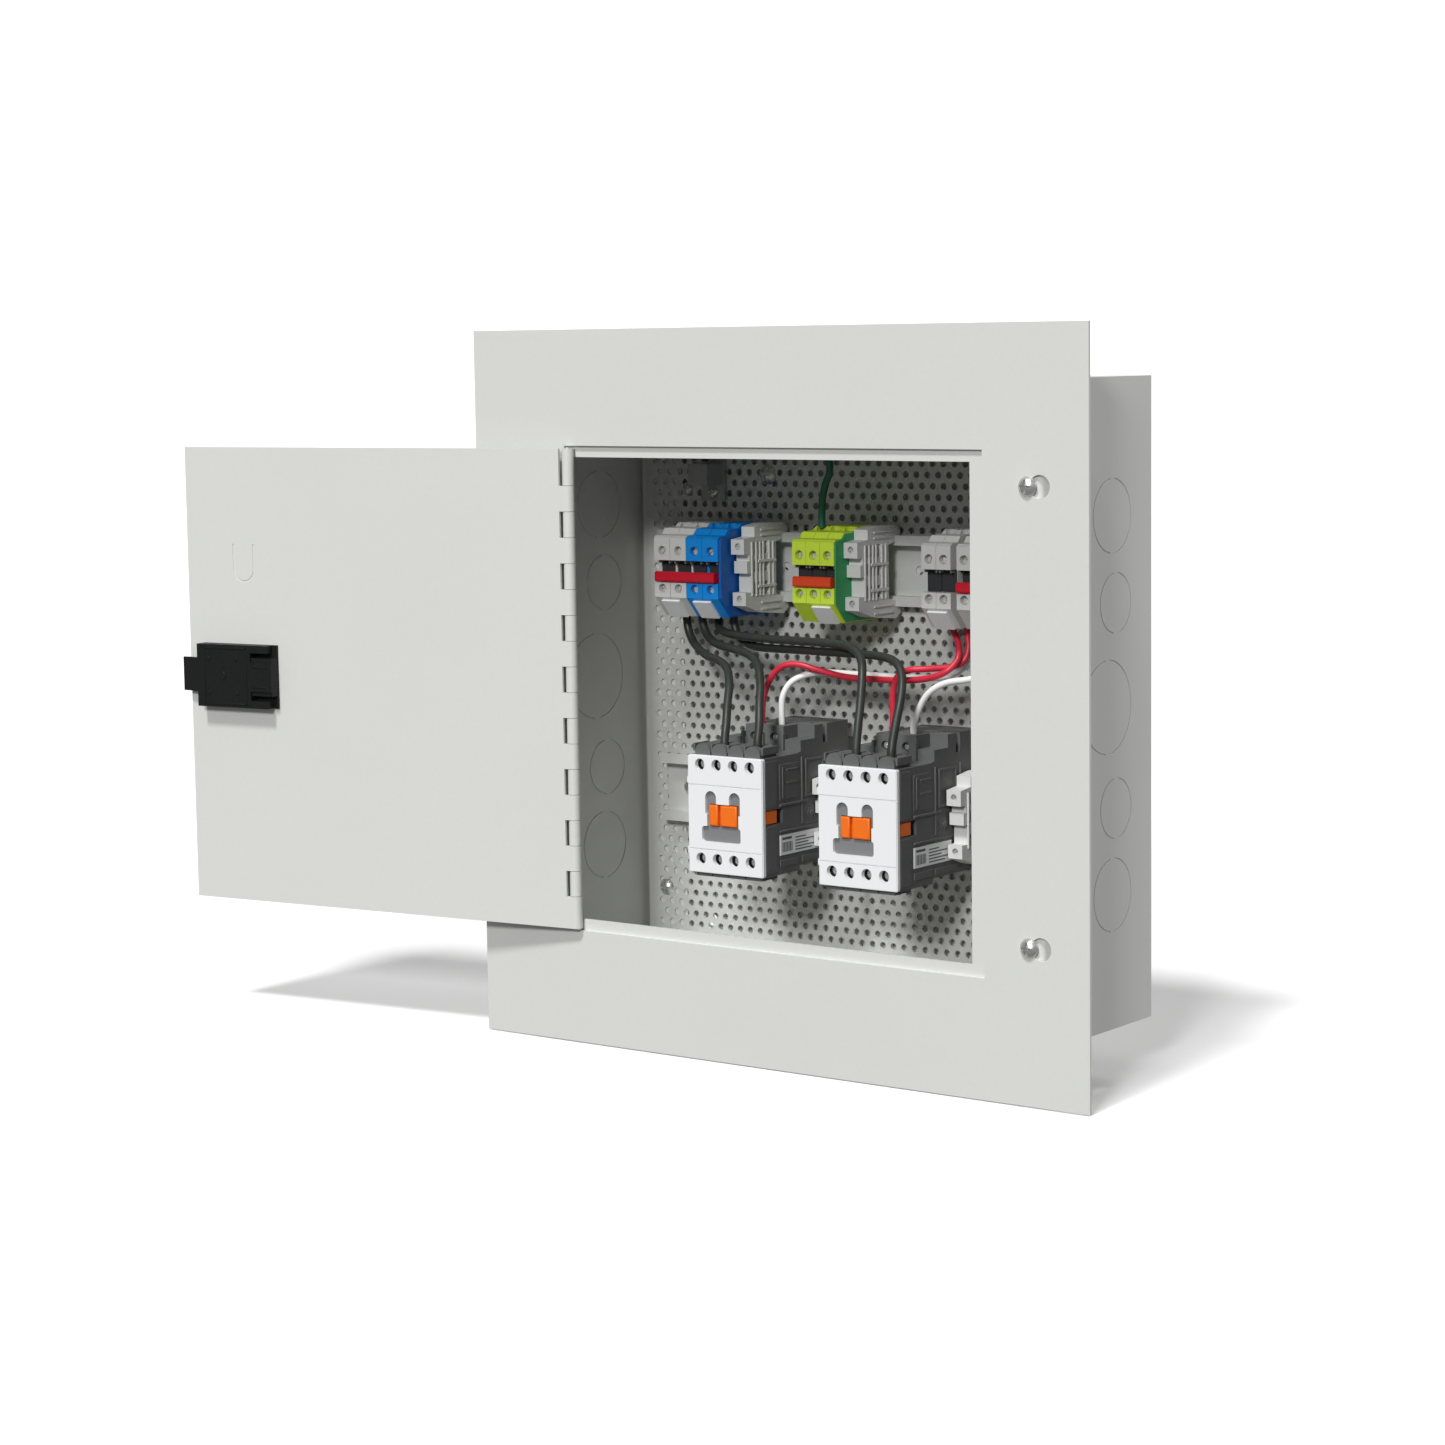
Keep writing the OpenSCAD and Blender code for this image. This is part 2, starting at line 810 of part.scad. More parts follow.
// A comb of insulated bar bridging neighbouring blocks between x0 and x1
module jumper(x0, x1) {
    color(red)
        translate([0, lip, upper_rail_z])
            along_x(x0, x1 - x0)
                polygon([
                    [-terminal_front - 1.4, channel_bottom + 0.4], [-34.2, channel_bottom + 0.4],
                    [-34.2, -1.6], [-terminal_front - 0.8, -0.9], [-terminal_front - 1.9, -1.7],
                    [-terminal_front - 1.9, channel_bottom + 1.2]
                ]);
}

module jumper_left() {
    jumper(-101.5, -64.5);
}

module jumper_ground() {
    jumper(-16.5, 6);
}

module jumper_right() {
    jumper(78, 93);
}

// An end clamp gripping a rail, centred at x on the rail at height z
module end_clamp(x, z) {
    color(pale_grey)
        translate([x, lip, z])
            difference() {
                along_x(-clamp_w / 2, clamp_w)
                    polygon([
                        [-33, 8], [-28.5, 8], [-28.5, 4.5], [-30.5, 4.5], [-30.5, -1.5], [-26.5, -1.5],
                        [-26.5, -11], [-32, -11], [-32, -17.6], [-20, -21.5], [0.2, -23.4],
                        [4.4, -20.5], [4.4, -15.6], [2.6, -15.6], [1.3, -17.7], [-0.2, -17.7],
                        [-0.2, -14.4], [-6, -13.2], [-6, 13.2], [-0.2, 14.4],
                        [-0.2, 17.7], [1.3, 17.7], [2.6, 15.6], [4.4, 15.6], [4.4, 20.5],
                        [0.2, 22.8], [-14, 22.8], [-24, 21.4], [-24, 16.5], [-33, 15.5]
                    ]);
                // Moulded hollows that leave ribs on its right side
                for (h = [[-25, -1], [-25, 8], [-25, -12]])
                    block(
                        [clamp_w / 2 - 2, h[0], h[1]],
                        [clamp_w / 2 + 1, h[0] + 12, h[1] + 6]
                    );
                bar_y(0, 12, 3.4, -34, -22);
                bar_y(0, -14.3, 3.4, -34, -22);
            }
}

module end_clamps_upper() {
    for (x = upper_clamp_x)
        end_clamp(x, upper_rail_z);
}

module end_clamps_lower() {
    for (x = lower_clamp_x)
        end_clamp(x, lower_rail_z);
}

// ---- Contactors ----

// Places a contactor's piece at contactor number n
module at_contactor(n) {
    translate([contactor_x[n - 1], 0, contactor_z])
        children();
}

// Lower housing: holds the magnet and hooks over the rail; its top block takes the coil's wires
module contactor_base() {
    rail_gap = lower_rail_z - contactor_z;
    foot_back = plate_front - 0.6;
    color(charcoal)
        difference() {
            union() {
                block([-side_wall_x, body_back, -26.5], [side_wall_x, base_back, 29.5]);
                block([-side_wall_x, coil_block_front, 29.3], [side_wall_x, base_back, coil_block_top - 6.4]);
                block([-11, coil_block_front, 29.3], [12, base_back, coil_block_top]);
                block([0, coil_block_front + 12, 29.3], [side_wall_x, base_back, coil_block_top]);
                for (s = [-1, 1]) {
                    z0 = s > 0 ? 17.7 + rail_gap : -26.5;
                    z1 = s > 0 ? 32 : -17.7 + rail_gap;
                    block([-side_wall_x + 2, base_back - 1, z0], [side_wall_x - 2, foot_back, z1]);
                    z2 = s > 0 ? 15.6 + rail_gap : -17.8 + rail_gap;
                    z3 = s > 0 ? 17.8 + rail_gap : -15.6 + rail_gap;
                    block([-12, lip + 1.2, z2], [12, lip + 3, z3]);
                }
            }
            // Space for the magnet, open to the upper housing
            block([-18.5, body_back - 1, -23], [18.5, base_back - 3, 23]);
            // Coil terminals: a wire shaft down from the top and a screw shaft in from the front
            for (x = [-1, 1]) {
                translate([x * coil_terminal_x, coil_terminal_y, 32])
                    cylinder(d = 4.4, h = 12);
                bar_y(x * coil_terminal_x, coil_screw_z, 4.6, coil_block_front - 1, coil_terminal_y);
            }
            // Slots in the top block
            block([-20, -37, 32], [-13, -28, 36]);
            block([14, -37, 32], [side_wall_x + 1, -33.5, 42]);
        }
}

// Upper housing: four pole chambers, their wire bays and the space the carrier works in
module contactor_body() {
    bay_back = cover_front + 14;
    color(charcoal)
        difference() {
            union() {
                block([-side_wall_x, body_front, -29], [side_wall_x, body_back, 29]);
                for (x = pole_x) {
                    block([x - 4.6, body_front, 28], [x + 4.6, bay_back + 2, 31]);
                    bar_y(x, 30.2, 9.2, body_front, bay_back + 2);
                    block([x - 4.6, body_front, -31], [x + 4.6, bay_back + 2, -28]);
                }
            }
            // Work space of the carrier, its bridges and its stem
            block([-20.6, body_front - 1, -13.2], [20.6, carrier_room + 1.5, 13.2]);
            block([-8, carrier_back + 1, -6.4], [8, body_back + 1, 6.4]);
            block([-19, cover_front + 27, -22.6], [19, body_back + 1, 22.6]);
            // Slots for the side tabs
            block([-side_wall_x - 1, cover_front + 1, -3.6], [side_wall_x + 1, carrier_room + 0.7, 3.6]);
            // Pole bays, open to the front under the cover and to the wires above and below
            for (x = pole_x) {
                block([x - bay_w / 2, body_front - 1, 13], [x + bay_w / 2, bay_back, 28.6]);
                block([x - bay_w / 2, body_front - 1, -28.6], [x + bay_w / 2, bay_back, -13]);
                translate([x, bay_y, 28])
                    cylinder(d = 5.2, h = 10);
                translate([x, bay_y, -34])
                    cylinder(d = 5.2, h = 6);
            }
        }
}

// The drawing of the recess in the middle of the cover: a pad, a window and two legs
module recess_outline(g) {
    leg_r = 3.3;
    translate([-2.5, -9.5])
        round_rect(23.4 - 2 * g, 7.6 - 2 * g, 1.6 - g);
    translate([-11 + g, -7])
        square([19 - 2 * g, 12.4 - g]);
    for (x = [-8.7, 5.7])
        translate([x, 8.4]) {
            circle(r = leg_r - g);
            translate([-leg_r + g, -8])
                square([2 * (leg_r - g), 8]);
        }
}

// White front cover with screw access holes
module contactor_cover() {
    color(white_plastic)
        difference() {
            union() {
                slab(cover_front + 0.5, cover_t - 0.5)
                    round_rect(contactor_w, 58, 1);
                slab(cover_front, 1)
                    translate([0, -1.5])
                        square([contactor_w - 0.6, 31], center = true);
                slab(cover_front, 1)
                    translate([0, 21.7])
                        square([contactor_w - 0.6, 14], center = true);
                slab(cover_front, 1)
                    translate([0, -23.2])
                        square([contactor_w - 0.6, 11], center = true);
                // Clips at the left side
                for (z = [-19.5, 15])
                    block(
                        [-contactor_w / 2 - 0.8, cover_front + 0.6, z],
                        [-side_wall_x - 0.1, cover_front + 5.5, z + 3]
                    );
            }
            slab(cover_front - 1, cover_t + 2)
                recess_outline(0);
            for (x = pole_x, z = [screw_up, screw_down])
                bar_y(x, z, 5.8, cover_front - 1, body_front + 1);
        }
}

// Grey frame in the cover's recess that guides the carrier
module contactor_guide() {
    color(mid_grey)
        slab(cover_front + 1.4, 2.2)
            difference() {
                recess_outline(0.1);
                translate([-10.2, -5.8])
                    square([17.4, 11.1]);
            }
}

// Orange contact carrier: its front block shows in the recess and its tabs at the sides
module contactor_carrier() {
    bar_front = cover_front + 5.6;
    color(orange)
        difference() {
            union() {
                block([-9.8, cover_front + 0.5, -5.4], [6.8, bar_front, 4.9]);
                block([-20.2, bar_front - eps, -6], [20.2, carrier_back, 6]);
                for (x = [-1, 1])
                    block(
                        [x > 0 ? 20 : -side_wall_x + 0.2, cover_front + 2.9, -3],
                        [x > 0 ? side_wall_x - 0.2 : -20, carrier_back, 3]
                    );
                block([-6, carrier_back - eps, -5], [6, cover_front + 33, 5]);
            }
            block([-4.8, cover_front - 1, -6], [-3, cover_front + 2.6, 5]);
            // Seats of the contact bridges
            for (x = pole_x)
                block([x - 3.1, cover_front + 4.2, -7], [x + 3.1, bar_front, 7]);
        }
}

// Bridges that the carrier presses onto the fixed contacts, one a pole
module contactor_bridges() {
    bridge_front = cover_front + 4.3;
    color(copper)
        for (x = pole_x) {
            block([x - 3, bridge_front, -12.4], [x + 3, bridge_front + 1.2, 12.4]);
            for (z = [-10.4, 10.4])
                bar_y(x, z, 4, bridge_front + 1.1, bridge_front + 1.6);
        }
}

// Moving half of the magnet
module contactor_armature() {
    web = cover_front + 33;
    tip = cover_front + 45.6;
    color(bright_steel)
        difference() {
            block([-8, web, -20], [8, tip, 20]);
            for (z = [-1, 1])
                block(
                    [-9, web + 6, z > 0 ? 5 : -14],
                    [9, tip + 1, z > 0 ? 14 : -5]
                );
        }
}

// Fixed half of the magnet
module contactor_core() {
    tip = cover_front + 46 + carrier_travel;
    back = base_back - 3.2;
    color(bright_steel)
        difference() {
            block([-8, tip, -20], [8, back, 20]);
            for (z = [-1, 1])
                block(
                    [-9, tip - 1, z > 0 ? 5 : -14],
                    [9, back - 6, z > 0 ? 14 : -5]
                );
        }
}

// Coil and bobbin round the magnet's middle leg
module contactor_coil() {
    y0 = cover_front + 46.2;
    y1 = base_back - 9.4;
    color(copper)
        difference() {
            union() {
                block([-16, y0, -12.8], [16, y0 + 1.5, 12.8]);
                block([-14.5, y0 + 1, -11.6], [14.5, y1 - 1, 11.6]);
                block([-16, y1 - 1.5, -12.8], [16, y1, 12.8]);
            }
            block([-8.5, y0 - 1, -5.5], [8.5, y1 + 1, 5.5]);
        }
}

// Return spring between the coil and the armature's web
module contactor_spring() {
    y0 = cover_front + 39.2;
    y1 = cover_front + 46;
    color(bright_steel)
        translate([0, y1, 0])
            rotate([90, 0, 0])
                coil_spring(10.6, 0.8, 3, y1 - y0);
}

// Fixed contacts with their clamp screws, and the two coil terminal screws
module contactor_terminals() {
    plate_y = cover_front + 10.2;
    color(copper)
        for (x = pole_x, s = [-1, 1]) {
            screw_z = s > 0 ? screw_up : screw_down;
            block(
                [x - 3.4, plate_y, s > 0 ? 8.6 : -27],
                [x + 3.4, plate_y + 1.2, s > 0 ? 28 : -8.6]
            );
            bar_y(x, s * 10.4, 4, plate_y - 0.3, plate_y + 0.1);
            translate([x, cover_front + 4.6, screw_z])
                screw(5.2, 1.8, 3.2, 7);
        }
    color(bright_steel)
        for (x = [-1, 1])
            translate([x * coil_terminal_x, coil_block_front + 2.4, coil_screw_z])
                screw(4.2, 1.6, 2.6, 6.2);
}

// Blank rating plate on the right side
module contactor_label() {
    color(white_plastic)
        block([side_wall_x, front + 28.5, -19.6], [side_wall_x + 0.4, front + 61, -9.8]);
}

// ---- Wires ----

module black_wires_1() {
    color(black) {
        wire(smooth(black_route_1, 3), load_wire_d);
        wire(smooth(black_route_2, 3), load_wire_d);
    }
}

module black_wires_2() {
    color(black) {
        wire(smooth(black_route_3, 3), load_wire_d);
        wire(smooth(black_route_4, 3), load_wire_d);
    }
}

module red_wires() {
    color(red) {
        wire(smooth(red_route_1, 3), control_wire_d);
        wire(smooth(red_route_2, 3), control_wire_d);
    }
}

module white_wires() {
    color(white_plastic) {
        wire(smooth(white_route_1, 3), control_wire_d);
        wire(smooth(white_route_2, 3), control_wire_d);
    }
}

module ground_wire() {
    color("darkgreen")
        wire(smooth(ground_route, 3), ground_wire_d);
}

box_wrap();
box_top();
box_bottom();
mounting_rail_left();
mounting_rail_right();
perforated_plate();
plate_screws();
trim();
trim_screws();
door();
hinge_pin();
latch_housing();
latch_slide();
latch_spring();
upper_din_rail();
lower_din_rail();
rail_screws();
ground_lug();
ground_screws();
terminals_grey_left();
terminals_blue();
terminals_ground();
terminals_grey_right();
terminal_screws();
terminal_markers();
jumper_left();
jumper_ground();
jumper_right();
end_clamps_upper();
end_clamps_lower();
for (n = [1, 2])
    at_contactor(n) {
        contactor_base();
        contactor_body();
        contactor_cover();
        contactor_guide();
        contactor_carrier();
        contactor_bridges();
        contactor_armature();
        contactor_core();
        contactor_coil();
        contactor_spring();
        contactor_terminals();
        contactor_label();
    }
black_wires_1();
black_wires_2();
red_wires();
white_wires();
ground_wire();
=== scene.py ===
"""Looks for the flush-mount load center: materials, fine geometry, wires, floor, lights and camera."""
import json
import math

import bmesh
import bpy
from mathutils import Matrix, Vector


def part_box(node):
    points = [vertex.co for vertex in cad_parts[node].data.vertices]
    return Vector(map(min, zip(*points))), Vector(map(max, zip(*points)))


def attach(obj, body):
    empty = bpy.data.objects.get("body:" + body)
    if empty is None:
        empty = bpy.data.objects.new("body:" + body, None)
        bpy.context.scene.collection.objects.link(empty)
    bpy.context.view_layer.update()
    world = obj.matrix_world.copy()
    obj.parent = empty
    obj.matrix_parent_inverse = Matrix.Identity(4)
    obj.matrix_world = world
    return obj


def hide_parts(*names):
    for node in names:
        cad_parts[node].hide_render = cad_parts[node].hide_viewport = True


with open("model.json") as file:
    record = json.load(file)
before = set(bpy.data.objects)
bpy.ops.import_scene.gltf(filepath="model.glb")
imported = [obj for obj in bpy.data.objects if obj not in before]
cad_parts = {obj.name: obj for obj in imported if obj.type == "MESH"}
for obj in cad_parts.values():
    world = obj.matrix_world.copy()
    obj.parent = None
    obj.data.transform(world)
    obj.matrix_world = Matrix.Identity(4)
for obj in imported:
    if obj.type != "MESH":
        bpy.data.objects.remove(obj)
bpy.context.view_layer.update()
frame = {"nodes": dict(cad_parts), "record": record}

MM = 0.001
nodes = frame["nodes"]
scene = bpy.context.scene

# The colours are meant as they are on screen, so a white floor stays white.
scene.view_settings.view_transform = "Standard"

TRIM_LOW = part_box("trim")[0]
PLATE_LOW, PLATE_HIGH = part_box("perforated_plate")


# ---- Camera ----

AZIMUTH, ELEVATION, ROLL = 36.72, 6.52, -0.82
LENS = 83.53
SENSOR = 36.0
CAMERA_AT = Vector((0.9319, -1.3866, 0.1719))


def make_camera():
    """The photograph's camera: its place, its heading and its slight roll."""
    data = bpy.data.cameras.new("camera")
    data.lens = LENS
    data.sensor_width = SENSOR
    data.clip_start, data.clip_end = 0.05, 30
    camera = bpy.data.objects.new("camera", data)
    scene.collection.objects.link(camera)
    a, e, r = (math.radians(v) for v in (AZIMUTH, ELEVATION, ROLL))
    back = Vector((math.sin(a) * math.cos(e), -math.cos(a) * math.cos(e), math.sin(e)))
    level = Vector((math.cos(a), math.sin(a), 0))
    up = back.cross(level)
    right = level * math.cos(r) + up * math.sin(r)
    up = back.cross(right)
    turn = Matrix((right, up, back)).transposed()
    camera.matrix_world = Matrix.Translation(CAMERA_AT) @ turn.to_4x4()
    scene.camera = camera


make_camera()


# ---- Materials ----

def srgb(r, g, b):
    """An 8-bit screen colour as the linear one that shaders take."""
    def lin(v):
        v /= 255
        return v / 12.92 if v <= 0.04045 else ((v + 0.055) / 1.055) ** 2.4
    return lin(r), lin(g), lin(b), 1.0


# The span that a noise texture mostly stays in
NOISE_LOW, NOISE_HIGH = 0.3, 0.7
# How far roughness strays from its middle value, and how high the grain stands
ROUGH_VARY = 0.08
GRAIN_HEIGHT = 0.1 * MM


def material(name, color, rough=0.5, metal=0.0, vary=0.06, fleck=900.0,
             bump=0.05, bump_scale=2500.0, stretch=(1, 1, 1), shine=0.5):
    """A procedural material: mottled colour, uneven gloss and a fine surface texture."""
    mat = bpy.data.materials.new(name)
    mat.use_nodes = True
    tree = mat.node_tree
    shader = tree.nodes["Principled BSDF"]
    shader.inputs["Metallic"].default_value = metal
    shader.inputs["Specular IOR Level"].default_value = shine
    place = tree.nodes.new("ShaderNodeTexCoord")
    mapping = tree.nodes.new("ShaderNodeMapping")
    mapping.inputs["Scale"].default_value = stretch
    tree.links.new(place.outputs["Object"], mapping.inputs["Vector"])

    def noise(scale, detail):
        node = tree.nodes.new("ShaderNodeTexNoise")
        node.inputs["Scale"].default_value = scale
        node.inputs["Detail"].default_value = detail
        tree.links.new(mapping.outputs["Vector"], node.inputs["Vector"])
        return node

    def remap(source, low, high):
        node = tree.nodes.new("ShaderNodeMapRange")
        node.inputs["From Min"].default_value = NOISE_LOW
        node.inputs["From Max"].default_value = NOISE_HIGH
        node.inputs["To Min"].default_value = low
        node.inputs["To Max"].default_value = high
        tree.links.new(source, node.inputs["Value"])
        return node.outputs["Result"]

    broad = noise(14.0, 4.0)
    fine = noise(fleck, 3.0)
    mixed = tree.nodes.new("ShaderNodeMath")
    mixed.operation = "MULTIPLY_ADD"
    mixed.inputs[1].default_value = 0.5
    tree.links.new(broad.outputs["Fac"], mixed.inputs[0])
    half = tree.nodes.new("ShaderNodeMath")
    half.operation = "MULTIPLY"
    half.inputs[1].default_value = 0.5
    tree.links.new(fine.outputs["Fac"], half.inputs[0])
    tree.links.new(half.outputs[0], mixed.inputs[2])
    ramp = tree.nodes.new("ShaderNodeValToRGB")
    ramp.color_ramp.elements[0].position = 0.35
    ramp.color_ramp.elements[1].position = 0.65
    ramp.color_ramp.elements[0].color = [min(1, c * (1 - vary)) for c in color[:3]] + [1]
    ramp.color_ramp.elements[1].color = [min(1, c * (1 + vary)) for c in color[:3]] + [1]
    tree.links.new(mixed.outputs[0], ramp.inputs["Fac"])
    tree.links.new(ramp.outputs["Color"], shader.inputs["Base Color"])
    gloss = remap(fine.outputs["Fac"], rough - ROUGH_VARY, rough + ROUGH_VARY)
    tree.links.new(gloss, shader.inputs["Roughness"])
    grain = noise(bump_scale, 2.0)
    bumps = tree.nodes.new("ShaderNodeBump")
    bumps.inputs["Strength"].default_value = bump
    bumps.inputs["Distance"].default_value = GRAIN_HEIGHT
    tree.links.new(grain.outputs["Fac"], bumps.inputs["Height"])
    tree.links.new(bumps.outputs["Normal"], shader.inputs["Normal"])
    return mat


PAINT = material("powder_coat", srgb(214, 215, 211), rough=0.45, vary=0.012, fleck=500, bump=0.22,
                 bump_scale=900, shine=0.35)
ZINC = material("zinc_plate", srgb(206, 207, 203), rough=0.5, metal=0.12, vary=0.03, fleck=300, bump=0.08)
RAIL = material("passivated_rail", srgb(212, 213, 210), rough=0.42, metal=0.2, vary=0.03, fleck=250,
                bump=0.06, stretch=(0.1, 1, 1))
BRIGHT = material("bright_zinc", srgb(214, 215, 212), rough=0.32, metal=0.85, vary=0.05, bump=0.08)
DULL = material("cast_aluminium", srgb(176, 177, 176), rough=0.5, metal=0.5, vary=0.06, fleck=400, bump=0.3)
NICKEL = material("nickel_plate", srgb(206, 205, 202), rough=0.36, metal=0.3, vary=0.05, bump=0.08)
COPPER = material("plated_copper", srgb(190, 140, 100), rough=0.35, metal=0.9)
CHARCOAL = material("charcoal_nylon", srgb(98, 99, 99), rough=0.55, vary=0.06, bump=0.3, shine=0.35)
WHITE = material("white_nylon", srgb(236, 237, 238), rough=0.42, vary=0.01, bump=0.15, shine=0.35)
MID_GREY = material("grey_nylon", srgb(126, 128, 130), rough=0.5, vary=0.04, bump=0.2, shine=0.4)
PALE_GREY = material("pale_grey_polyamide", srgb(208, 208, 205), rough=0.48, vary=0.02, bump=0.2, shine=0.4)
CLAMP_GREY = material("clamp_polyamide", srgb(214, 214, 212), rough=0.5, vary=0.02, bump=0.2, shine=0.4)
BLUE = material("blue_polyamide", srgb(8, 138, 222), rough=0.45, vary=0.04, bump=0.2, shine=0.4)
# Painted shade: a darker copy of the blue above, the colour of the blue group's side as it falls in shade
BLUE_PAINTED_SHADE = material("blue_polyamide_painted_shade", srgb(10, 92, 178), rough=0.45, vary=0.04, bump=0.2, shine=0.4)
GREEN_YELLOW = material("green_yellow_polyamide", srgb(204, 232, 66), rough=0.45, vary=0.04, bump=0.2,
                        shine=0.4)
GREEN = material("green_polyamide", srgb(44, 156, 92), rough=0.45, vary=0.04, bump=0.2, shine=0.4)
ORANGE = material("orange_nylon", srgb(244, 116, 26), rough=0.42, vary=0.04, bump=0.15, shine=0.4)
RED = material("red_jumper", srgb(208, 26, 48), rough=0.38, vary=0.04, bump=0.12, shine=0.4)
ORANGE_RED = material("orange_red_jumper", srgb(222, 74, 34), rough=0.38, vary=0.04, bump=0.12, shine=0.4)
BLACK = material("black_nylon", srgb(24, 25, 25), rough=0.5, vary=0.15, bump=0.3, shine=0.25)
# Painted shade: a dark colour for blocks that stand in for the shadow inside recesses
SHADOW = material("painted_shade_channel", srgb(52, 54, 56), rough=0.7, vary=0.1, bump=0.1, shine=0.2)
INK = material("grey_print", srgb(92, 93, 95), rough=0.6, vary=0.08, bump=0.05)
BLACK_PVC = material("black_insulation", srgb(50, 54, 50), rough=0.42, vary=0.08, bump=0.1, fleck=200,
                     shine=0.4)
RED_PVC = material("red_insulation", srgb(206, 44, 66), rough=0.38, vary=0.05, bump=0.1, fleck=200)
WHITE_PVC = material("white_insulation", srgb(238, 238, 236), rough=0.4, vary=0.02, bump=0.1, fleck=200)
GREEN_PVC = material("green_insulation", srgb(18, 96, 78), rough=0.4, vary=0.06, bump=0.1, fleck=200)

SLOT_LOOKS = {
    "painted_steel": PAINT, "zinc_plate": ZINC, "bright_steel": BRIGHT, "copper": COPPER,
    "charcoal_plastic": CHARCOAL, "white_plastic": WHITE, "dark_grey_plastic": MID_GREY,
    "grey_plastic": PALE_GREY, "blue_plastic": BLUE, "green_plastic": GREEN_YELLOW,
    "orange_plastic": ORANGE, "red_plastic": RED, "black_plastic": BLACK,
    "black_insulation": BLACK_PVC, "red_insulation": RED_PVC, "white_insulation": WHITE_PVC,
    "green_insulation": GREEN_PVC,
}
NODE_LOOKS = {
    "upper_din_rail": RAIL, "lower_din_rail": RAIL, "ground_lug": DULL, "jumper_ground": ORANGE_RED,
    "end_clamps_upper": CLAMP_GREY, "end_clamps_lower": CLAMP_GREY,
    "contactor_1_terminals": NICKEL, "contactor_2_terminals": NICKEL,
}
NODE_SLOTS = {s["node"]: s["material_slot"] for s in frame["record"]["subparts"]}
# How far each slot's edges are rounded, in millimetres
BEVELS = {"painted_steel": 0.25, "charcoal_plastic": 0.35, "white_plastic": 0.3, "grey_plastic": 0.25,
          "blue_plastic": 0.25, "green_plastic": 0.25, "orange_plastic": 0.2, "black_plastic": 0.35,
          "red_plastic": 0.2, "dark_grey_plastic": 0.2}


def soften(obj, width=0.0):
    """Rounds an object's sharp edges by a width in millimetres and shades its curves smooth."""
    if width:
        bevel = obj.modifiers.new("edges", "BEVEL")
        bevel.width = width * MM
        bevel.segments = 2
        bevel.limit_method = "ANGLE"
        bevel.angle_limit = math.radians(40)
    for polygon in obj.data.polygons:
        polygon.use_smooth = True
    obj.data.set_sharp_from_angle(angle=math.radians(35))


def finish_cad_nodes():
    """Gives every CAD node its material and its rounded edges."""
    for name, obj in nodes.items():
        slot = NODE_SLOTS[name]
        obj.data.materials.clear()
        obj.data.materials.append(NODE_LOOKS.get(name, SLOT_LOOKS[slot]))
        soften(obj, BEVELS.get(slot, 0.0))


finish_cad_nodes()


# ---- Shapes and pieces ----

def mm(x, y, z):
    """A vector given in millimetres."""
    return Vector((x, y, z)) * MM


def add_block(bm, low, high):
    """A block given by its lowest and highest corners."""
    place = Matrix.Translation((low + high) / 2) @ Matrix.Diagonal((*(high - low), 1))
    bmesh.ops.create_cube(bm, size=1, matrix=place)


def add_rod(bm, start, end, radius):
    """A round rod from start to end, with 24 sides."""
    turn = (end - start).to_track_quat("Z", "Y").to_matrix().to_4x4()
    bmesh.ops.create_cone(
        bm, cap_ends=True, segments=24, radius1=radius, radius2=radius, depth=(end - start).length,
        matrix=Matrix.Translation((start + end) / 2) @ turn)


def add_prism(bm, outline, shift):
    """A solid swept from a flat closed outline by the vector shift."""
    near = [bm.verts.new(p) for p in outline]
    far = [bm.verts.new(p + shift) for p in outline]
    faces = [bm.faces.new(near), bm.faces.new(far)]
    for k, start in enumerate(near):
        n = (k + 1) % len(near)
        faces.append(bm.faces.new((start, near[n], far[n], far[k])))
    bmesh.ops.recalc_face_normals(bm, faces=faces)


def add_slotted_head(bm, face, radius, depth, tilt=0.0):
    """A slotted screw head that looks towards -Y, its face centred at the point face."""
    slot_depth = 0.7
    add_rod(bm, face + mm(0, slot_depth, 0), face + Vector((0, depth, 0)), radius)
    for half in (0, 180):
        angles = [math.radians(half + tilt + a) for a in range(9, 172, 9)]
        outline = [face + radius * Vector((math.cos(a), 0, math.sin(a))) for a in angles]
        add_prism(bm, outline, mm(0, slot_depth + 0.1, 0))


def piece(name, mesh, look, body, width=0.0, smooth=True):
    """A finished piece from a mesh, riding on a CAD body."""
    obj = bpy.data.objects.new(name, mesh)
    scene.collection.objects.link(obj)
    obj.data.materials.append(look)
    if smooth:
        soften(obj, width)
    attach(obj, body)
    return obj


def finish(name, bm, look, body, width=0.0):
    """Turns a bmesh into a finished piece."""
    mesh = bpy.data.meshes.new(name)
    bm.to_mesh(mesh)
    bm.free()
    return piece(name, mesh, look, body, width)


# ---- Perforated plate ----

HOLE_R = 1.75 * MM
HOLE_PITCH = 6.35 * MM


